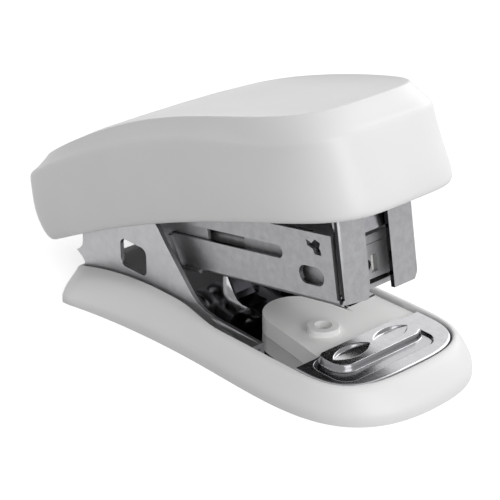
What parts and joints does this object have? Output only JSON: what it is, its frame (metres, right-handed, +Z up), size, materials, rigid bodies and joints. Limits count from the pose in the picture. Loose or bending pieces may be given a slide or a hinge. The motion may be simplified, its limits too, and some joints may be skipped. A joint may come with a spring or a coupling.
{
  "type": "stapler",
  "caption": "Mini desk stapler: pressed steel frame and magazine between two white moulded covers; cap, magazine and staple pusher move.",
  "frame": {"origin": "centre of the whole part's footprint, on the surface that the base stands on", "axes": "+X towards the nose, where the staples come out; +Y across, to the left seen from behind; +Z up"},
  "size_m": [0.0768, 0.0368, 0.0406],
  "materials": {
    "white_abs": "white moulded ABS, fine satin",
    "frame_steel": "nickel-plated pressed steel, satin outside and bright inside",
    "magazine_steel": "nickel-plated pressed steel, satin",
    "anvil_steel": "polished and plated steel",
    "spring_steel": "hardened spring steel",
    "inner_steel": "plain plated steel",
    "rivet_steel": "plated steel pin and rivets",
    "slider_acetal": "natural acetal"
  },
  "bodies": {
    "base": {"base_cover": "white_abs", "base_frame": "frame_steel", "deck_block": "white_abs", "anvil_plate": "anvil_steel", "base_rivets": "rivet_steel", "hinge_pin": "rivet_steel", "hinge_spacers": "rivet_steel", "return_spring": "spring_steel"},
    "magazine": {"magazine": "magazine_steel", "rear_bracket": "inner_steel", "staple_rail": "inner_steel", "guide_rod": "rivet_steel", "pusher_spring": "spring_steel"},
    "pusher": {"pusher": "inner_steel", "pusher_block": "slider_acetal"},
    "cap": {"top_cap": "white_abs", "handle_frame": "inner_steel", "driver_blade": "spring_steel", "driver_rivets": "rivet_steel", "handle_spring": "spring_steel", "spring_rivet": "rivet_steel"}
  },
  "joints": [
    {"name": "magazine_hinge", "type": "hinge", "parent": "base", "child": "magazine", "pos_m": [-0.0182, 0, 0.0122], "axis": [0, 1, 0], "range_deg": [0, 9.7], "stiffness_Nm_per_rad": 0.6, "springref_deg": -8.59, "deforming": ["return_spring"]},
    {"name": "cap_hinge", "type": "hinge", "parent": "magazine", "child": "cap", "pos_m": [-0.0182, 0, 0.0122], "axis": [0, 1, 0], "range_deg": [-11, 9.7], "stiffness_Nm_per_rad": 0.4, "deforming": ["handle_spring"]},
    {"name": "pusher_slide", "type": "slide", "parent": "magazine", "child": "pusher", "axis": [0.9854, 0, 0.1702], "range_m": [-0.019, 0], "stiffness_N_per_m": 40, "springref_m": 0.02, "deforming": ["pusher_spring"]}
  ]
}
